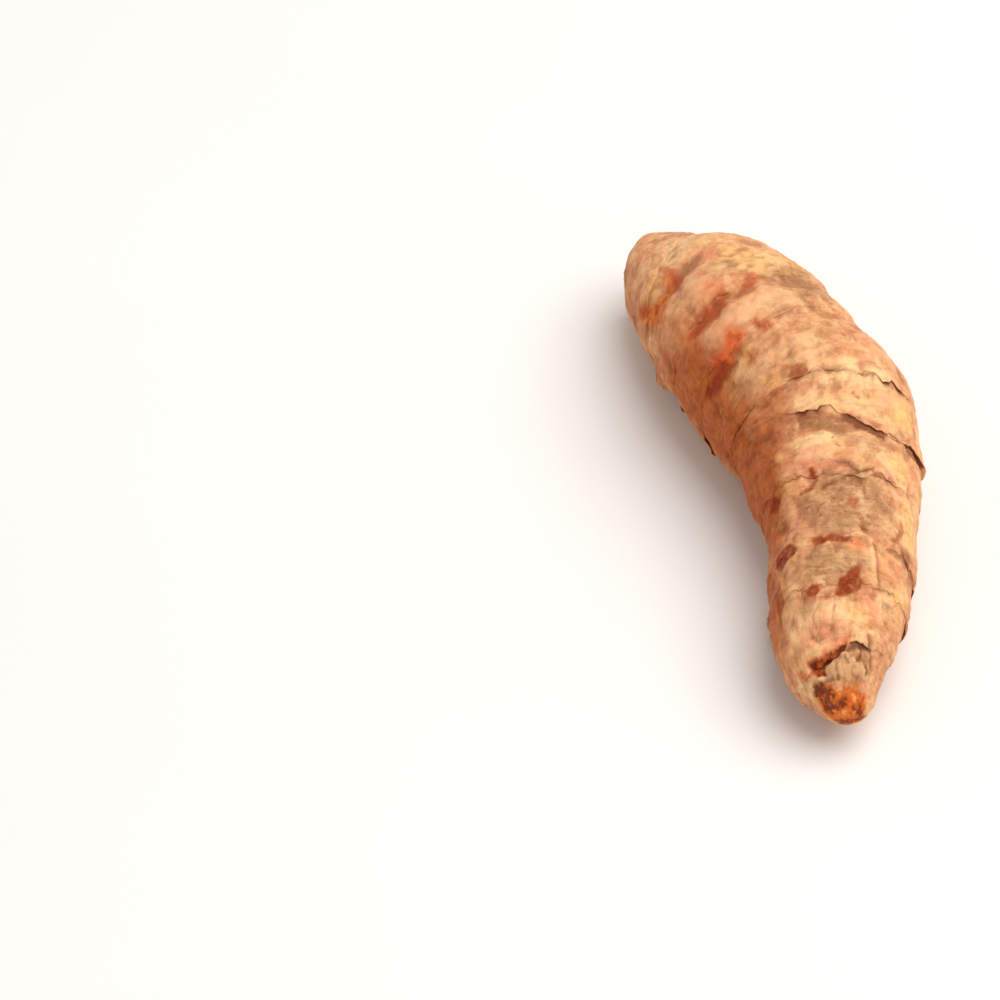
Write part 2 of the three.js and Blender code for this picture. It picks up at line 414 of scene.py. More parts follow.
# Marks with an outline: strength, and corners as (along, degrees)
STAIN_MARKS = [
    (0.9, [(14.4, 35), (18.6, 33), (20.4, 41), (19.2, 50), (17.6, 46)]),
    (0.9, [(24.7, 22), (26, 21), (27.3, 35), (27.3, 52), (26, 57), (25, 40)]),
    (0.75, [(24, 4), (25.5, -3), (26.8, 8), (26.8, 18), (25.5, 12)]),
    (0.9, [(31.6, 54), (33.2, 43), (33.4, 66), (32, 80)]),
    (0.75, [(33.8, 35), (34.5, 31), (35.2, 34), (34.8, 39)]),
    (0.75, [(31.2, 20), (32, 11), (33.2, 13), (32.4, 22)]),
    (0.8, [(38, 22), (38.6, 15), (40.2, 12), (40.4, 20), (39.4, 26)]),
    (0.6, [(39.6, 27), (40.4, 29), (40.7, 42), (39.7, 42)]),
    (0.5, [(44.3, 28), (45.3, 6), (46.4, 0), (45.3, 27)]),
    (0.95, [(51.9, 29), (52.4, 23), (53.8, 23), (53.4, 28)]),
    (0.8, [(53.7, 24), (55, 25), (55.6, 37), (55, 36), (54.6, 29)]),
    (0.7, [(53, 61), (54.2, 54), (56.1, 57), (55, 70)]),
    (0.95, [(62.3, 28), (62.2, -5), (62.9, -5), (63.2, 12), (63.5, 24)]),
    (0.65, [(60.3, -10), (61.2, -16), (61.4, -12)]),
    (0.6, [(58.4, -43), (59.2, -50), (62, -38), (60, -42)]),
    (0.45, [(61.6, -44), (61.2, -62), (62.6, -64), (62.6, -48)]),
    (1, [(65.6, -13), (68.5, -19), (69.4, -4), (69.5, 5), (67.4, -2)]),
    (0.95, [(68.9, 34), (68.3, 26), (68.6, 14), (69.5, 22), (69.5, 31)]),
    (1, [(61.8, 48), (63.6, 39), (64.7, 58), (63.6, 68), (62.5, 62)]),
    (0.5, [(69.7, 5), (69.2, 16), (70.1, 12)]),
    (0.5, [(70.9, 46), (72.6, 42), (71.8, 54)]),
    (0.4, [(72.6, 30), (74.4, 24), (73.4, 36)]),
    (0.5, [(73.4, -28), (75, -30), (74.4, -36)]),
    (0.6, [(66.2, 60), (69.6, 58), (71.6, 66), (67, 72)]),
    (0.4, [(48.4, 50), (50.4, 46), (50.6, 62)]),
]
ORANGE_MARKS = [
    (1, [(17.4, 50), (20, 51), (21.2, 64), (19.4, 78), (12.2, 80), (12.4, 72), (16, 64)]),
    (0.8, [(13.6, 37), (14.8, 35), (18.2, 43), (19.6, 51), (17.6, 54), (15.6, 47)]),
    (0.5, [(22.8, 30), (23, 23), (24.7, 23), (24.2, 32)]),
    (0.45, [(25, 50), (26.4, 47), (27.6, 58), (25.8, 66)]),
    (0.9, [(29.8, 33), (31.7, 26), (32.4, 38), (33, 48), (31.2, 62), (30.8, 44)]),
    (0.4, [(31.3, 20), (32.4, 12), (32.8, 18)]),
    (0.9, [(75.4, 46), (75.2, 32), (75.9, 30), (76.4, 40), (76.8, 46)]),
    (0.75, [(75.5, 63), (76, 52), (76.9, 47), (77.2, 49), (76.7, 60), (76, 66)]),
    (0.7, [(75.1, 24), (74.6, 8), (73.9, -12), (74.7, -5), (75.2, 8)]),
    (0.4, [(62.6, -3), (62.4, -10), (63.2, -15), (64.5, -12), (64, -4)]),
    (0.35, [(56.7, -4), (57.8, -7), (58.5, -2), (57.4, 0)]),
    (0.7, [(52.2, 27), (52.8, 24), (53.4, 26)]),
    (0.6, [(53.5, 61), (54.6, 56), (55, 65)]),
]
PINK_MARKS = [
    (0.9, [(49, 41), (51, 12), (52.6, -2), (54.4, 12), (52.6, 28)]),
    (0.9, [(40, -20), (40.7, -26), (41.2, -18)]),
    (0.5, [(62.4, -36), (61, -50), (61, -64), (62.5, -62)]),
    (0.8, [(74.2, 51), (74.2, 43), (74.8, 44), (74.8, 51)]),
    (0.5, [(19.6, 22), (21.2, 14), (22.9, 20), (21.2, 26)]),
]
PALE_MARKS = [
    (0.9, [(20.4, -3), (21.7, -33), (23.8, -30), (23.2, -2)]),
    (1, [(44.2, -41), (43.6, -56), (45.6, -52), (45.8, -41)]),
    (1, [(51.8, -37), (51.2, -50), (53.2, -47), (53.3, -38)]),
    (0.7, [(65.7, 13), (66, 0), (67.6, 8)]),
    # Along the top of the ring-4 lip: a painted highlight on its edge, partly also paler dry skin.
    (0.8, [(43.2, 24), (43.6, 0), (45.2, -24), (46.6, -36), (46.1, -20), (45, 0), (44.3, 24)]),
    (0.9, [(76.3, 72), (76.9, 55), (77.5, 54), (78.4, 64), (78.2, 80), (77.2, 78)]),
    (0.6, [(71, -6), (71.2, -22), (73.4, -20), (72.8, -8)]),
    (0.6, [(67, -36), (66.2, -52), (66.6, -62), (67.9, -54), (68.3, -40)]),
    (0.5, [(56.8, -41), (56.1, -59), (57.6, -65), (60.4, -61), (60.6, -49), (58.1, -51)]),
    (0.8, [(51.2, -26), (54.4, -46), (52.8, -45), (51.6, -34)]),
]
GREY_MARKS = [
    (0.9, [(44.5, 28), (46, 2), (48.4, -10), (47.8, 8), (46.2, 28)]),
    (1, [(63.5, 27), (63.4, 4), (64.8, -12), (68.2, 4), (68, 28), (65.6, 34)]),
    (1, [(76, 22), (75.2, 4), (74.8, -14), (75.2, -30), (77.8, -38), (78.6, 0), (77.6, 34)]),
    (0.8, [(62.5, -35), (60.8, -51), (60.8, -69), (62.8, -61), (63.4, -46)]),
    (0.7, [(54.8, 12), (54.6, -12), (55.8, -40), (61.4, -38), (61.9, -15), (61.4, 0), (58, 10)]),
]
# Creases and small tears: depth, half width, how dark, and a line of (along, degrees)
CREASES = [
    (0.1, 0.14, 0.55, [(40.1, 13), (40.4, 5), (40.6, -2), (41, -10), (41.3, -18), (41.4, -28)]),
    (0.1, 0.16, 0.8, [(43.3, -9), (43.8, -12), (44.1, -16)]),
    (0.06, 0.1, 0.5, [(42.4, 22), (42.2, 10), (42.6, -4)]),
    (0.12, 0.16, 0.8, [(47.7, -34), (47.8, -38), (47.8, -45)]),
    (0.14, 0.15, 0.85, [(47.4, -52), (48.1, -57), (48.7, -63), (48.8, -70)]),
    (0.12, 0.14, 0.75, [(48, 6), (49.3, 7), (50.3, 4)]),
    (0.12, 0.13, 0.75, [(51.9, 10), (52.1, 4), (52.2, -1), (53, -5), (53.4, -8)]),
    (0.12, 0.14, 0.75, [(53.4, -8), (53.8, -1), (54.3, 5), (54.6, 14), (55, 19)]),
    (0.14, 0.16, 0.8, [(53.4, -8), (52.9, -18), (53.7, -22), (53.8, -27), (53.6, -32)]),
    (0.08, 0.12, 0.6, [(54.4, -10), (55.5, -12), (56.4, -12)]),
    (0.06, 0.12, 0.5, [(56.9, -2), (56.7, -6), (57.6, -6), (58.5, -3), (58, 0), (57, -1)]),
    (0.1, 0.16, 0.6, [(62.7, -24), (63.8, -26), (64.9, -28), (66.2, -31), (67.8, -33)]),
    (0.12, 0.18, 0.9, [(61.9, -50), (62.2, -57), (62.4, -64)]),
    (0.1, 0.14, 0.7, [(68.5, 38), (69.2, 36), (69.9, 33)]),
    (0.05, 0.12, 0.45, [(57.5, 18), (58.6, 22), (60, 20)]),
    (0.05, 0.12, 0.45, [(71, 4), (72.2, 8), (73.6, 7)]),
    (0.05, 0.12, 0.45, [(70.6, 20), (72, 25), (73.4, 24)]),
    (0.06, 0.12, 0.5, [(36.6, -12), (37.2, -24), (38.4, -31)]),
    (0.06, 0.12, 0.4, [(34.8, 14), (35.6, 4), (35.3, -6)]),
    (0.06, 0.12, 0.4, [(37, 32), (37.4, 24), (37, 16)]),
    (0.2, 0.2, 0.9, [(75.5, 12), (75.2, 5), (74.9, -2)]),
    (0.18, 0.2, 0.85, [(75.3, -6), (74.9, -15), (75, -21), (75.8, -21), (76.4, -14)]),
    (0.16, 0.18, 0.75, [(76.9, -26), (77.3, -30), (78, -27)]),
    (0.16, 0.2, 0.6, [(76.3, 13), (77.2, 13), (78, 17)]),
    (0.1, 0.16, 0.7, [(73.9, -29), (74.7, -31), (75.5, -36), (76.5, -40)]),
    (0.14, 0.18, 0.8, [(76.7, 50), (77.3, 44), (77.8, 35), (77.9, 23)]),
    (0.1, 0.16, 0.5, [(76.2, 2), (76.9, -3), (77.8, -4)]),
    (0.08, 0.16, 0.5, [(72.3, 6), (72.9, 6), (73.4, 9)]),
    (0.08, 0.16, 0.4, [(73.5, 32), (73.9, 26), (73.9, 20)]),
    (0.06, 0.14, 0.5, [(60.7, -12), (61.2, -12)]),
    (0.08, 0.14, 0.5, [(42.3, -39), (42.4, -46)]),
    (0.08, 0.16, 0.4, [(23.9, 1), (24.6, 4)]),
]
# Raised edges of loose skin, painted pale as a highlight along them, partly also paler loose skin:
# height, half width, and a line of (along, degrees)
FOLDS = [
    (0.16, 0.22, [(62.2, -6), (61.9, -15), (62.3, -19), (63.4, -22), (64.9, -23), (66.1, -25)]),
    (0.12, 0.25, [(51.4, -24), (52.5, -31), (53.3, -36), (53.9, -41), (53.8, -48)]),
    (0.1, 0.22, [(45, -8), (45.9, -18), (46.3, -30)]),
    (0.14, 0.22, [(76.7, 53), (77.2, 44), (77.5, 34)]),
]
# Broad swells and hollows: along, degrees, length, width, height. The last is a flake of skin in
# front of a ring of the outer flank.
SWELLS = [
    (29.2, 34, 3.6, 15, 0.42), (26.2, 42, 2.4, 9, -0.48), (32.2, 44, 2.6, 9, -0.46),
    (22.6, 40, 4.4, 10, 0.34), (17.6, 46, 3, 9, -0.75), (12, 42, 5, 8, 0.3), (36.6, 20, 4, 12, 0.2),
    (47.2, -12, 2.8, 11, -0.4), (50.4, 20, 3.6, 9, 0.22), (62.9, 10, 1.8, 7, -0.26),
    (66.2, 8, 3, 7, 0.22), (68.8, -6, 1.6, 6, -0.2), (72, 2, 3, 7, 0.2), (65, -31, 5, 1.6, -0.14),
    (59.6, -36, 4, 4, 0.2), (43, -48, 3, 6, 0.2), (77.6, 62, 2.4, 3, 0.25),
    (54.2, -4, 1.6, 7, -0.2), (60, -62, 4, 5, 0.2), (40, -65, 2.4, 3, 0.4),
]
# Round scars of old rootlets: along, degrees, size. The hidden ones are placed by chance.
SCARS = [(54.7, 61, 2), (57.6, -3, 1.3), (33.9, 35, 1.1)]
HIDDEN_SCARS = 16
# Painted shade and brown skin in front of the loosest lip: along, degrees, length, width
SHADE_AND_BROWN_PAST_LIP = (46.9, -17, 8, 6)
# The tip: the torn pit beside its bud scale, the scale (along, degrees, length, width), the
# darker corner of the rough end, and where that end begins, as degrees and place along
TORN_PIT = [
    (75.5, 46), (75.4, 26), (74.8, -3), (75.3, 0), (75.9, 15), (76.6, 32), (77.3, 30), (77.2, 41),
    (76.4, 46),
]
TIP_SCALE = (77, -6, 3.2, 5.4)
DARK_CORNER = [(77.1, 53), (77.8, 44), (78.6, 34), (79.5, 36), (80.4, 66), (79, 68), (78.1, 58)]
ROUGH_FROM = [
    (-180, 80.4), (-67, 80.3), (-41, 79.4), (-10, 78.6), (24, 78.5), (52, 77.5), (67, 78.6),
    (95, 80.2), (180, 80.4),
]


def hidden_scars():
    """Scars on the sides that the photograph doesn't show."""
    random = np.random.default_rng(SEED)
    scars = []
    for _ in range(HIDDEN_SCARS):
        at = random.uniform(6, 74)
        degrees = random.choice([-1, 1]) * random.uniform(105, 165)
        scars.append((at, degrees, random.uniform(0.9, 1.7)))
    return scars


def from_segment(x, y, step_x, step_y):
    """Distance of (x, y) from the straight line that starts at (0, 0) and goes by one step."""
    t = np.clip((x * step_x + y * step_y) / (step_x**2 + step_y**2), 0, 1)
    return np.hypot(x - t * step_x, y - t * step_y)


def inside(outline, along, angle):
    """How far inside an outline each place lies, in mm, and below zero outside it."""
    at, degrees = np.array(outline, float).T
    middle = degrees.mean()
    reach = bare_radius(np.array(at.mean()))
    depth = np.full_like(along, -9.0)
    near = (along > at.min() - 2) & (along < at.max() + 2)
    x = along[near]
    y = turn_between(angle[near], np.radians(middle)) * reach
    corners = list(zip(at, np.radians(degrees - middle) * reach))
    within = np.zeros(x.shape, bool)
    nearest = np.full(x.shape, 9.0)
    for (x1, y1), (x2, y2) in zip(corners, corners[1:] + corners[:1]):
        nearest = np.minimum(nearest, from_segment(x - x1, y - y1, x2 - x1, y2 - y1))
        if y1 != y2:
            crosses = (y1 > y) != (y2 > y)
            within ^= crosses & (x < x1 + (y - y1) * (x2 - x1) / (y2 - y1))
    depth[near] = np.where(within, nearest, -nearest)
    return depth


def line_distance(along, angle, radius, line):
    """Distance over the skin, in mm, from a line of (along, degrees) points."""
    nearest = np.full_like(along, 1e3)
    for (at1, degrees1), (at2, degrees2) in zip(line, line[1:]):
        y = turn_between(angle, np.radians(degrees1)) * radius
        step_y = np.radians(degrees2 - degrees1) * radius
        nearest = np.minimum(nearest, from_segment(along - at1, y, at2 - at1, step_y))
    return nearest


def relief_shade_and_highlight(relief):
    """From 0 in the hollows of the skin to 1 on its ridges, for the painted shade in the hollows and the
    painted highlight on the ridges.
    """
    level = relief
    for _ in range(2):
        level = sum(np.roll(level, shift, axis=1) for shift in range(-4, 5)) / 9
        padded = np.pad(level, ((5, 5), (0, 0)), mode="edge")
        level = sum(padded[shift : shift + len(level)] for shift in range(11)) / 11
    return np.clip(0.5 + (relief - level) / 0.36, 0, 1)


class Skin:
    """The rows of fine skin. Its steps add to the relief, in mm, and make the masks that colour it,
    which go from 0 to 1."""

    def __init__(self):
        self.angle_row, columns = skin_rows()
        self.along, ring_relief, self.past, self.before, self.hidden, self.near = columns
        self.angle = np.broadcast_to(self.angle_row, self.along.shape)
        self.radius = bare_radius(self.along)
        self.place = straight(self.along, self.angle, self.radius)
        sway = [noise(self.place, 2.4, number) for number in (201, 202, 203)]
        self.moved = self.place + 0.6 * np.stack(sway, -1)
        self.soft = fractal(self.place, 1.5, 8, 5, 0.65)
        self.torn = 0.22 * fractal(self.place, 1, 12, 4, 0.65)
        self.crinkle = fractal(self.moved, (1.5, 1.9, 1.9), 6, 3, 0.6)
        past, before = np.maximum(self.past, 0), np.maximum(self.before, 0)
        self.near_ring = np.exp(-past / 2.2) + np.exp(-before / 1.6)
        self.relief = ring_relief + lumps(self.along, self.angle)
        self.bud_relief = np.zeros_like(self.along)
        self.crease = np.zeros_like(self.along)
        self.fold = np.zeros_like(self.along)
        self.masks = {}

    def mound(self, *bump):
        return mound(self.along, self.angle, *bump)

    def inside(self, outline):
        return inside(outline, self.along, self.angle)

    def darken(self, crease):
        self.crease = np.maximum(self.crease, crease)

    def spots(self, places):
        """Soft spots of colour with wandering edges."""
        total = np.zeros_like(self.along)
        for at, degrees, length, width, strength in places:
            spot = self.mound(at, degrees, length * 1.15, width * 1.15)
            total = np.maximum(total, strength * ramp(0.28, 0.62, spot + 0.3 * self.soft))
        return total

    def marks(self, outlines, ragged, soft):
        """Outlined marks. ragged is how far their edges are torn, and soft is how far they fade, in
        mm. They fade farther towards the broken end, where the photograph is out of focus."""
        total = np.zeros_like(self.along)
        edge = soft + 0.6 * ramp(42, 20, self.along)
        for strength, outline in outlines:
            depth = self.inside(outline) + ragged * self.torn
            total = np.maximum(total, strength * ramp(-edge, edge, depth))
        return total

    def wrinkle(self):
        """Fine rings, lengthwise fibres, bumps, and thin layers of skin with a rim."""
        fine_rings = fractal(self.moved, (0.8, 5, 5), 3, 3, 0.6)
        fibres = fractal(self.moved, (7, 0.9, 0.9), 4, 3, 0.55)
        bumps = fractal(self.place, (5.5, 4.5, 4.5), 5, 5, 0.55)
        layers = fractal(self.moved, (4.5, 3.6, 3.6), 7, 5, 0.6)
        layer = 0.5 * ramp(-0.02, 0.03, layers) + 0.5 * ramp(0.3, 0.34, layers)
        rim = bell(layers / 0.03) + bell((layers - 0.32) / 0.025)
        room = 0.3 + 0.7 * ramp(-0.3, 0.5, noise(self.place, (5, 6, 6), 1))
        on_tip = ramp(69.5, 72, self.along) * ramp(76, 74.5, self.along)
        self.relief += FINE_RINGS * room * (0.6 + self.near_ring) * fine_rings
        self.relief += (FIBRES + TIP_FIBRES * on_tip) * fibres
        self.relief += BUMPS * bumps + CRINKLE * self.crinkle + LAYERS * layer
        self.masks.update(layer=layer, rim=np.clip(rim, 0, 1))

    def grow_buds(self):
        """Resting buds with fine lines at the ends of their scales."""
        for ring, degrees in BUDS:
            at = float(ring_place(ring, np.radians(degrees))) + BUD_PAST_RING
            bud = self.mound(at, degrees, BUD_WIDTH, BUD_WIDTH)
            ends = [(bud - level + 0.15 * self.crinkle) / 0.06 for level in BUD_SCALE_ENDS]
            lines = sum(bell(end) for end in ends)
            self.bud_relief += BUD_HEIGHT * bud * (1 + 0.25 * self.crinkle) - BUD_LINES * lines
            self.darken(0.6 * lines)

    def swell(self):
        for at, degrees, length, width, height in SWELLS:
            self.relief += height * self.mound(at, degrees, length, width)

    def scar(self):
        """Round scars with a raised rim."""
        scars = np.zeros_like(self.along)
        for at, degrees, size in SCARS + hidden_scars():
            dot = self.mound(at, degrees, size, size)
            self.relief += SCAR_RIMS * bell((dot - 0.35) / 0.2) - SCARRED * dot
            scars = np.maximum(scars, dot)
        self.masks["scar"] = scars

    def groove_rings(self):
        """The soft line past a ring where its lip lies flat."""
        far = ramp(42, 34, self.along)
        groove = bell(np.maximum(self.past, 0) / (0.38 + 0.5 * far)) * ramp(0.3, 0.05, self.near)
        groove *= ramp(-0.35, 0.15, fractal(self.place, (3, 2.4, 2.4), 16, 3, 0.6))
        self.relief -= GROOVES * groove
        self.darken((0.38 - 0.2 * far) * groove)

    def crease_and_fold(self):
        """Creases and folds with a wandering line and an uneven thickness."""
        drift = 0.14 * fractal(self.place, 0.9, 9, 3, 0.6)
        sway = 0.14 * fractal(self.place, 0.9, 14, 3, 0.6) / np.maximum(self.radius, 1)
        thickness = np.clip(0.9 + 0.8 * fractal(self.place, 1.2, 11, 3, 0.6), 0.3, 1.5)

        def across(line, half_width):
            away = line_distance(self.along + drift, self.angle + sway, self.radius, line)
            return bell(away / (half_width * thickness))

        for depth, half_width, dark, line in CREASES:
            crease = across(line, half_width) * ramp(0.3, 0.7, thickness)
            self.relief -= depth * crease
            self.darken(dark * crease)
        for height, half_width, line in FOLDS:
            fold = across(line, half_width)
            self.relief += height * fold
            self.fold = np.maximum(self.fold, fold)

    def shade_and_brown_past_lip(self):
        """Painted shade and brown skin in front of the loosest lip, 1 mm wide, added to the darkened
        creases.
        """
        in_front = ramp(1.15, 0.8, self.past + 2.4 * self.torn)
        self.darken(ramp(0.3, 0.5, self.mound(*SHADE_AND_BROWN_PAST_LIP)) * in_front)

    def stain(self):
        """Stains where the photograph shows them, and by chance near the rings of its unseen side."""
        patches = ramp(0.3, 0.4, fractal(self.moved, (1.6, 4, 4), 15, 4, 0.6))
        by_chance = 0.6 * unseen(self.angle, 84, 104) * patches * ramp(0.2, 0.6, self.near_ring)
        stain = np.maximum(self.marks(STAIN_MARKS, 1.5, 0.2), by_chance)
        self.relief -= STAINED * stain
        self.masks["stain"] = stain

    def tip(self):
        """A torn pit beside the wrinkled bud scale, and the rough end below them."""
        pit = ramp(-0.2, 0.3, self.inside(TORN_PIT) + 1.2 * self.torn)
        scale = self.mound(*TIP_SCALE)
        wrinkles = fractal(self.place, (2.2, 0.9, 0.9), 13, 4, 0.6)
        degrees = np.degrees(turn_between(self.angle, 0))
        rough_from = np.interp(degrees, *np.array(ROUGH_FROM, float).T)
        rough = ramp(-0.25, 0.3, self.along - rough_from + 2.2 * self.torn)
        grains = fractal(self.place, 1, 10, 4, 0.7)
        dark_corner = ramp(-0.3, 0.3, self.inside(DARK_CORNER) + 2 * self.torn)
        self.relief += scale * (TIP_SCALE_HEIGHT + TIP_WRINKLES * wrinkles) - PIT_DEPTH * pit
        self.relief += rough * (TIP_GRAINS * grains - TIP_WORN)
        # Painted shade in the valleys of the scale's wrinkles and painted highlight on their ridges.
        self.darken(0.7 * scale * ramp(-0.1, -0.5, wrinkles))
        self.fold = np.maximum(self.fold, 0.6 * scale * ramp(0.15, 0.6, wrinkles))
        self.masks.update(pit=pit, tip=rough)
        self.masks["grains"] = np.clip(0.5 + 0.5 * grains - 0.26 * dark_corner, 0, 1)

    def flank(self):
        """Painted shade and orange reflected light on the inner flank, partly also its more orange skin,
        with a blotched edge.
        """
        blotches = fractal(self.place, (9, 5, 5), 17, 4, 0.55)
        begins = 0.5 + 0.22 * ramp(30, 24, self.along)
        flank = ramp(0, 0.5, np.sin(self.angle) - begins + 0.22 * blotches + 0.08 * self.soft)
        flank *= ramp(-1, -0.2, np.cos(self.angle) + 0.2 * blotches)
        self.masks["flank"] = flank * ramp(76, 71, self.along)

    def colour(self):
        """The masks that follow from the places of marks and rings, and from the whole relief."""
        # A band just past each loose lip: painted shadow under the lip, partly also brown skin.
        lip_shadow = bell(np.maximum(self.past, 0) / 0.5)
        self.masks.update(
            orange=self.marks(ORANGE_MARKS, 1.6, 0.3),
            pink=np.maximum(self.spots(PINK_SPOTS), self.marks(PINK_MARKS, 2, 0.5)),
            yellow=self.spots(YELLOW_SPOTS),
            pale=np.maximum(self.spots(PALE_SPOTS), self.marks(PALE_MARKS, 2, 0.4)),
            grey=np.maximum(self.spots(GREY_SPOTS), self.marks(GREY_MARKS, 2, 0.5)),
            fold=self.fold,
            crease=self.crease,
            # Painted shade on the skin hidden under loose lips.
            gap=np.clip(self.hidden * ramp(0.04, 0.25, self.near), 0, 1),
            ring_dark=lip_shadow * ramp(0.03, 0.25, self.near),
            broken=ramp(2.5, 1.8, self.along + 1.5 * self.torn),
            # height: where shade is painted in the hollows and highlight on the ridges of the whole
            # relief
            height=relief_shade_and_highlight(self.relief),
        )

    def points(self):
        shrunk = np.minimum(1, self.radius / NARROW)
        radius = self.radius + shrunk * (self.relief + self.bud_relief)
        return around(self.along, self.angle, radius)


def grown_skin():
    skin = Skin()
    skin.wrinkle()
    skin.grow_buds()
    skin.swell()
    skin.scar()
    skin.groove_rings()
    skin.crease_and_fold()
    skin.shade_and_brown_past_lip()
    skin.stain()
    skin.tip()
    skin.flank()
    skin.colour()
    return skin


def broken_face(angle):
    """Rows of the dished broken face, from its middle out to the skin: points, and unbent places."""
    rows = []
    for share in np.linspace(0.08, 0.97, 16):
        along = SCAR_AT + SCAR_DEPTH * (1 - share**2) + 0 * angle
        radius = bare_radius(np.array(SCAR_AT)) * share + 0 * angle
        place = straight(along, angle, radius)
        torn = 0.22 * fractal(place, 1.1, 20, 4, 0.6) + 0.12 * np.sin(7 * angle + 9 * share)
        rows.append((along + torn * (1 - share**6), radius))
    along, radius = (np.array(column) for column in zip(*rows))
    angle = np.broadcast_to(angle, along.shape)
    return around(along, angle, radius), straight(along, angle, radius)


def unrolled(rows):
    """Unrolled skin for baking: u goes round the root and v along its rows."""
    sides = rows.shape[1]
    steps = np.linalg.norm(np.diff(rows, axis=0), axis=-1).mean(axis=1)
    v = 0.01 + 0.98 * np.concatenate([[0], np.cumsum(steps)]) / steps.sum()
    left = np.arange(sides) / sides
    right = left + 1 / sides
    middle = (left + right) / 2
    low, u0 = np.meshgrid(v[:-1], left, indexing="ij")
    high, u1 = np.meshgrid(v[1:], right, indexing="ij")
    none, one = 0 * left, 0 * left + 1
    quads = np.stack([u0, low, u1, low, u1, high, u0, high], -1)
    first_fan = np.stack([middle, none, right, none + v[0], left, none + v[0]], -1)
    last_fan = np.stack([middle, one, left, none + v[-1], right, none + v[-1]], -1)
    return np.concatenate([quads.ravel(), first_fan.ravel(), last_fan.ravel()])


def rhizome():
    """One closed mesh: a fan at each end and quads between the rows, flat where it rests at Z = 0."""
    skin = grown_skin()
    face_points, face_places = broken_face(skin.angle_row)
    rows = np.concatenate([face_points, skin.points()])
    rows[..., 2] = np.maximum(rows[..., 2], 0)
    count, sides = rows.shape[:2]
    ends = around(np.array([SCAR_AT + SCAR_DEPTH, LENGTH]), np.zeros(2), np.zeros(2))
    vertices = np.concatenate([ends[:1], rows.reshape(-1, 3), ends[1:]])
    tip = len(vertices) - 1

    index = 1 + np.arange(count * sides).reshape(count, sides)
    after = np.roll(index, -1, axis=1)
    faces = np.stack([index[:-1], after[:-1], after[1:], index[1:]], -1).reshape(-1, 4).tolist()
    faces += [[0, b, a] for a, b in zip(index[0].tolist(), after[0].tolist())]
    faces += [[tip, a, b] for a, b in zip(index[-1].tolist(), after[-1].tolist())]
    mesh = bpy.data.meshes.new("rhizome_skin")
    mesh.from_pydata((vertices * MM).tolist(), [], faces)
    mesh.update()
    mesh.uv_layers.new(name="OFBake").data.foreach_set("uv", unrolled(rows).astype(np.float32))
    mesh.polygons.foreach_set("use_smooth", np.ones(len(mesh.polygons), bool))

    for name, values in skin.masks.items():
        on_face = 1.0 if name == "broken" else 0.0
        face = np.full(face_points[..., 0].size, on_face)
        data = np.concatenate([[on_face], face, values.ravel(), [values[-1].mean()]])
        mesh.attributes.new(name, "FLOAT", "POINT").data.foreach_set("value", data.astype(np.float32))
    places = [face_places.reshape(-1, 3), skin.place.reshape(-1, 3)]
    grown = np.concatenate([[[SCAR_AT, 0, 0]], *places, [[LENGTH, 0, 0]]])
    attribute = mesh.attributes.new("grown", "FLOAT_VECTOR", "POINT")
    attribute.data.foreach_set("vector", grown.astype(np.float32).ravel())

    body = bpy.data.objects.new("rhizome_skin", mesh)
    bpy.context.collection.objects.link(body)
    return body


# Materials


def tone(red, green, blue):
    """A colour given from 0 to 255, as the linear values that the shader takes."""
    srgb = np.array([red, green, blue]) / 255
    linear = np.where(srgb <= 0.04045, srgb / 12.92, ((srgb + 0.055) / 1.055) ** 2.4)
    return (*linear.tolist(), 1.0)


class Nodes:
    """Short calls that add a shader node and link what goes into it."""

    def __init__(self, name):
        self.material = bpy.data.materials.new(name)
        self.material.use_nodes = True
        self.tree = self.material.node_tree
        self.shader = next(n for n in self.tree.nodes if n.type == "BSDF_PRINCIPLED")

    def fill(self, node, sockets):
        """Links or sets the inputs of a node. One that is given as None stays as it is."""
        for socket, value in sockets.items():
            if isinstance(value, bpy.types.NodeSocket):
                self.tree.links.new(value, node.inputs[socket])
            elif value is not None:
                node.inputs[socket].default_value = value

    def new(self, kind, output, sockets, **settings):
        node = self.tree.nodes.new("ShaderNode" + kind)
        for name, value in settings.items():
            setattr(node, name, value)
        self.fill(node, sockets)
        return node.outputs[output]

    def attribute(self, name, output="Fac"):
        return self.new("Attribute", output, {}, attribute_name=name)

    def stretched(self, vector, scale, offset=(0, 0, 0)):
        return self.new("Mapping", "Vector", {"Vector": vector, "Location": offset, "Scale": scale})

    def noise(self, vector, scale, detail, rough=0.55, distortion=0.0):
        sockets = {"Vector": vector, "Scale": scale, "Detail": detail, "Roughness": rough}
        return self.new("TexNoise", "Fac", {**sockets, "Distortion": distortion})

    def part(self, vector, axis):
        return self.new("SeparateXYZ", axis, {"Vector": vector})

    def range(self, value, low, high, to_low=0.0, to_high=1.0):
        """value between low and high, carried over smoothly to between to_low and to_high."""
        sockets = {"Value": value, "From Min": low, "From Max": high, "To Min": to_low, "To Max": to_high}
        return self.new("MapRange", "Result", sockets, interpolation_type="SMOOTHSTEP")

    def math(self, operation, a, b):
        return self.new("Math", "Value", {0: a, 1: b}, operation=operation)

    def times(self, a, b):
        return self.math("MULTIPLY", a, b)

    def scaled(self, name, factor):
        return self.times(self.attribute(name), factor)

    def mix(self, factor, a, b, blend="MIX"):
        return self.new("Mix", 2, {0: factor, 6: a, 7: b}, data_type="RGBA", blend_type=blend)

    def over(self, colour, *layers):
        """Tones laid over a colour in turn, where their masks say so."""
        for mask, red, green, blue in layers:
            colour = self.mix(mask, colour, tone(red, green, blue))
        return colour

    def bump(self, height, distance, strength, normal=None):
        sockets = {"Height": height, "Distance": distance, "Strength": strength, "Normal": normal}
        return self.new("Bump", "Normal", sockets)


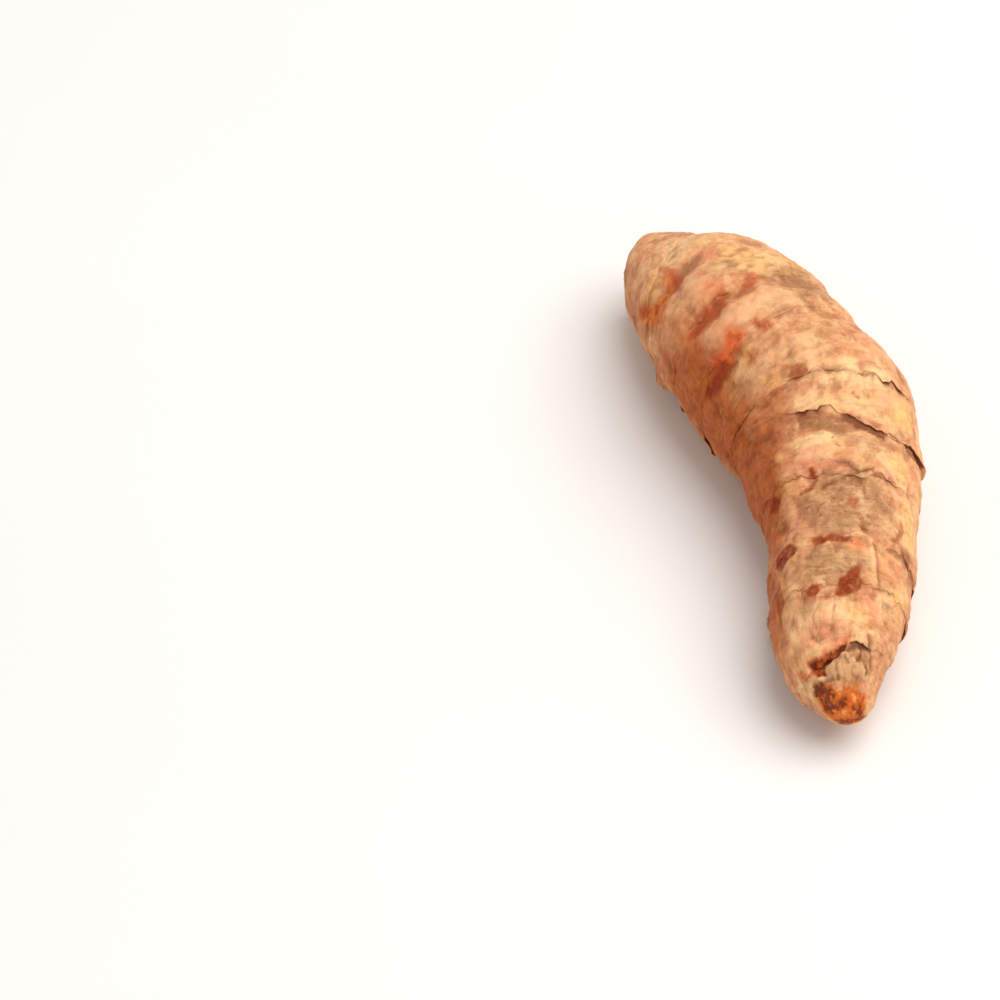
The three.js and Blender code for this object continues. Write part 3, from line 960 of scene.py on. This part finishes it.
def skin_grain(n):
    """Noises that mottle, speckle and streak the skin, and how far along the root it is."""
    grown = n.attribute("grown", "Vector")
    shifted = n.stretched(grown, (1, 1, 1), (40, 0, 0))
    along_streaks = n.stretched(grown, (1.3, 0.2, 0.2))
    across_streaks = n.stretched(grown, (0.2, 0.9, 0.9))
    return SimpleNamespace(
        along=n.part(grown, "X"),
        broad=n.noise(grown, 0.14, 2),
        reddish=n.noise(grown, 0.34, 3, 0.55, 0.6),
        yellowish=n.noise(shifted, 0.4, 3, 0.55, 0.6),
        spots=n.noise(grown, 0.8, 2, 0.5, 0.5),
        cork=n.noise(grown, 1.1, 4, 0.65, 0.5),
        clumps=n.noise(grown, 1.5, 3, 0.6, 0.4),
        fine=n.noise(grown, 1.6, 2, 0.5, 0.3),
        specks=n.noise(shifted, 2.4, 1.5, 0.5),
        wrinkles=n.noise(along_streaks, 1, 2.5, 0.5, 1.1),
        fibres=n.noise(across_streaks, 1, 2.5, 0.5, 0.5),
    )


def ground_colour(n, grain):
    """The skin's own tones, and the large soft marks of the photograph."""
    return n.over(
        n.mix(n.range(grain.broad, 0.4, 0.6), tone(216, 146, 102), tone(224, 156, 108)),
        (n.range(grain.reddish, 0.46, 0.66, 0, 0.7), 214, 134, 98),
        (n.range(grain.yellowish, 0.48, 0.66, 0, 0.75), 236, 176, 112),
        (n.scaled("layer", 0.25), 238, 178, 130),
        (n.scaled("pale", 0.85), 252, 206, 150),
        (n.scaled("yellow", 0.75), 246, 188, 114),
        (n.scaled("pink", 0.85), 238, 150, 112),
        (n.scaled("grey", 0.85), 168, 120, 80),
    )


def mottled(n, grain, colour):
    """Fine dark and light mottling and the rims of the skin layers, with painted shade in the hollows and
    painted highlight on the ridges of the relief, and painted shadow past the loose lips. The light kind
    stays off the inner flank.
    """
    off_flank = n.math("SUBTRACT", 1, n.attribute("flank"))
    height = n.attribute("height")
    more_fibres = n.range(grain.along, 58, 72, 0.12, 0.3)
    more_specks = n.math("ADD", n.scaled("grey", 0.4), 0.1)
    return n.over(
        colour,
        (n.range(grain.spots, 0.5, 0.68, 0, 0.3), 172, 118, 80),
        (n.times(n.range(grain.spots, 0.48, 0.3, 0, 0.35), off_flank), 250, 202, 150),
        (n.range(grain.wrinkles, 0.52, 0.7, 0, 0.34), 168, 112, 74),
        (n.times(n.range(grain.wrinkles, 0.46, 0.3, 0, 0.3), off_flank), 248, 196, 142),
        (n.times(n.range(grain.fibres, 0.54, 0.7), more_fibres), 184, 114, 70),
        (n.range(grain.fine, 0.54, 0.7, 0, 0.22), 152, 104, 74),
        (n.range(grain.fine, 0.44, 0.3, 0, 0.15), 250, 208, 158),
        (n.times(n.range(grain.specks, 0.58, 0.68), more_specks), 140, 84, 54),
        # Painted shade in the hollows and painted highlight on the ridges of the relief.
        (n.range(height, 0.5, 0, 0, 0.55), 152, 96, 58),
        (n.times(n.range(height, 0.5, 1, 0, 0.4), off_flank), 250, 200, 148),
        (n.scaled("rim", 0.2), 160, 92, 58),
        # Painted shadow under the loose lips, partly also brown skin.
        (n.scaled("ring_dark", 0.7), 134, 80, 50),
    )


def marked(n, grain, colour):
    """Torn orange patches, amber ones near the broken end, stains, scars, creases darkened in part by
    painted shade, and folds with a painted highlight.
    """
    orange = n.mix(n.range(grain.spots, 0.4, 0.6), tone(240, 118, 60), tone(208, 88, 36))
    amber = n.mix(n.range(grain.spots, 0.42, 0.58), tone(218, 116, 34), tone(190, 78, 24))
    orange = n.mix(n.range(grain.along, 26, 21), orange, amber)
    stained = n.mix(n.range(grain.along, 30, 42), tone(178, 76, 34), tone(148, 58, 20))
    stain = n.times(n.attribute("stain"), n.range(grain.spots, 0.4, 0.62, 1, 0.86))
    stain = n.times(stain, n.range(grain.fine, 0.5, 0.3, 1, 0.72))
    colour = n.mix(n.scaled("orange", 0.88), colour, orange)
    return n.over(
        n.mix(stain, colour, stained),
        (n.scaled("scar", 0.5), 186, 98, 46),
        # Dark brown of the cracks and ring lines, with painted shade in front of the loosest lip and in
        # the tip scale's wrinkles.
        (n.scaled("crease", 0.85), 124, 68, 42),
        # Painted highlight on the folds and on the ridges of the tip scale's wrinkles, partly also paler
        # loose skin.
        (n.scaled("fold", 0.5), 250, 206, 154),
    )


def rough_ends(n, grain, colour):
    """The rough tip, the corky broken face, the torn pit, and painted shade under the lips."""
    clump = n.math("ADD", n.scaled("grains", 0.55), n.times(grain.clumps, 0.45))
    rough = n.mix(n.range(clump, 0.34, 0.54), tone(120, 46, 16), tone(216, 102, 32))
    rough = n.mix(n.range(clump, 0.54, 0.74), rough, tone(244, 160, 84))
    corky = n.mix(n.range(grain.cork, 0.38, 0.56), tone(240, 184, 112), tone(206, 118, 44))
    corky = n.mix(n.range(grain.fine, 0.52, 0.66), corky, tone(132, 66, 28))
    pit = n.mix(n.range(grain.fine, 0.4, 0.62), tone(190, 82, 30), tone(100, 42, 20))
    colour = n.mix(n.scaled("tip", 0.92), colour, rough)
    colour = n.mix(n.attribute("broken"), colour, corky)
    colour = n.mix(n.attribute("pit"), colour, pit)
    # Painted shade under the loose lips.
    return n.over(colour, (n.scaled("gap", 0.85), 104, 54, 32))


def skin_material():
    n = Nodes("turmeric_skin")
    grain = skin_grain(n)
    colour = ground_colour(n, grain)
    colour = mottled(n, grain, colour)
    colour = marked(n, grain, colour)
    colour = rough_ends(n, grain, colour)
    # The flank mask multiplies in painted shade and orange reflected light on the inner flank, partly
    # also its more orange skin.
    colour = n.mix(n.scaled("flank", 0.88), colour, tone(206, 141, 66), "MULTIPLY")

    normal = n.bump(grain.wrinkles, 0.35 * MM, 0.55)
    normal = n.bump(grain.fibres, 0.3 * MM, 0.25, normal)
    normal = n.bump(grain.spots, 0.3 * MM, 0.4, normal)
    normal = n.bump(grain.fine, 0.18 * MM, 0.3, normal)
    n.fill(n.shader, {
        "Base Color": colour,
        "Roughness": n.range(grain.spots, 0.3, 0.7, 0.5, 0.66),
        "Specular IOR Level": 0.1,
        "Subsurface Weight": 0.25,
        "Subsurface Radius": (1.0, 0.35, 0.1),
        "Subsurface Scale": 2.5 * MM,
        "Normal": normal,
    })
    return n.material


def floor_material():
    n = Nodes("pale_surface")
    cloud = n.noise(n.new("NewGeometry", "Position", {}), 9.0, 3.0)
    colour = n.mix(cloud, tone(236, 234, 231), tone(240, 239, 237))
    n.fill(n.shader, {"Base Color": colour, "Roughness": 0.7, "Specular IOR Level": 0.2})
    return n.material


# Floor, light and camera, in metres

FLOOR_SIZE = 3.0

KEY_PLACE = (0.27, 0.0, 0.70)
KEY_SIZE = 0.85
KEY_POWER = 5.5
KEY_COLOUR = (1.0, 0.98, 0.95)
WORLD_COLOUR = (1.0, 0.985, 0.97, 1.0)
WORLD_STRENGTH = 0.56

CAMERA_ELEVATION = 45.0
CAMERA_DISTANCE = 0.42
CAMERA_TARGET = Vector((-0.03147, -0.0084, 0.010))
CAMERA_RANGE = (0.01, 20.0)
LENS = 135.0
SENSOR = 36.0


def floor():
    bpy.ops.mesh.primitive_plane_add(size=FLOOR_SIZE, location=(0, 0, 0))
    plane = bpy.context.object
    plane.name = "surface"
    plane.data.materials.append(floor_material())


def key_light():
    """A large soft lamp that looks at the origin."""
    data = bpy.data.lights.new("key", "AREA")
    data.shape = "DISK"
    data.size = KEY_SIZE
    data.energy = KEY_POWER
    data.color = KEY_COLOUR
    lamp = bpy.data.objects.new("key", data)
    lamp.location = KEY_PLACE
    lamp.rotation_euler = (-Vector(KEY_PLACE)).to_track_quat("-Z", "Y").to_euler()
    bpy.context.collection.objects.link(lamp)


def world_light():
    world = bpy.data.worlds.new("studio")
    world.use_nodes = True
    background = world.node_tree.nodes["Background"]
    background.inputs["Color"].default_value = WORLD_COLOUR
    background.inputs["Strength"].default_value = WORLD_STRENGTH
    bpy.context.scene.world = world
    bpy.context.scene.view_settings.view_transform = "Standard"


def camera():
    data = bpy.data.cameras.new("camera")
    data.lens = LENS
    data.sensor_width = SENSOR
    data.clip_start, data.clip_end = CAMERA_RANGE
    holder = bpy.data.objects.new("camera", data)
    elevation = np.radians(CAMERA_ELEVATION)
    back = Vector((0, -np.cos(elevation), np.sin(elevation)))
    holder.location = CAMERA_TARGET + back * CAMERA_DISTANCE
    holder.rotation_euler = (-back).to_track_quat("-Z", "Y").to_euler()
    bpy.context.collection.objects.link(holder)
    bpy.context.scene.camera = holder


camera()
floor()
key_light()
world_light()

root = rhizome()
root.data.materials.append(skin_material())
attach(root, "root")
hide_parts("rhizome")
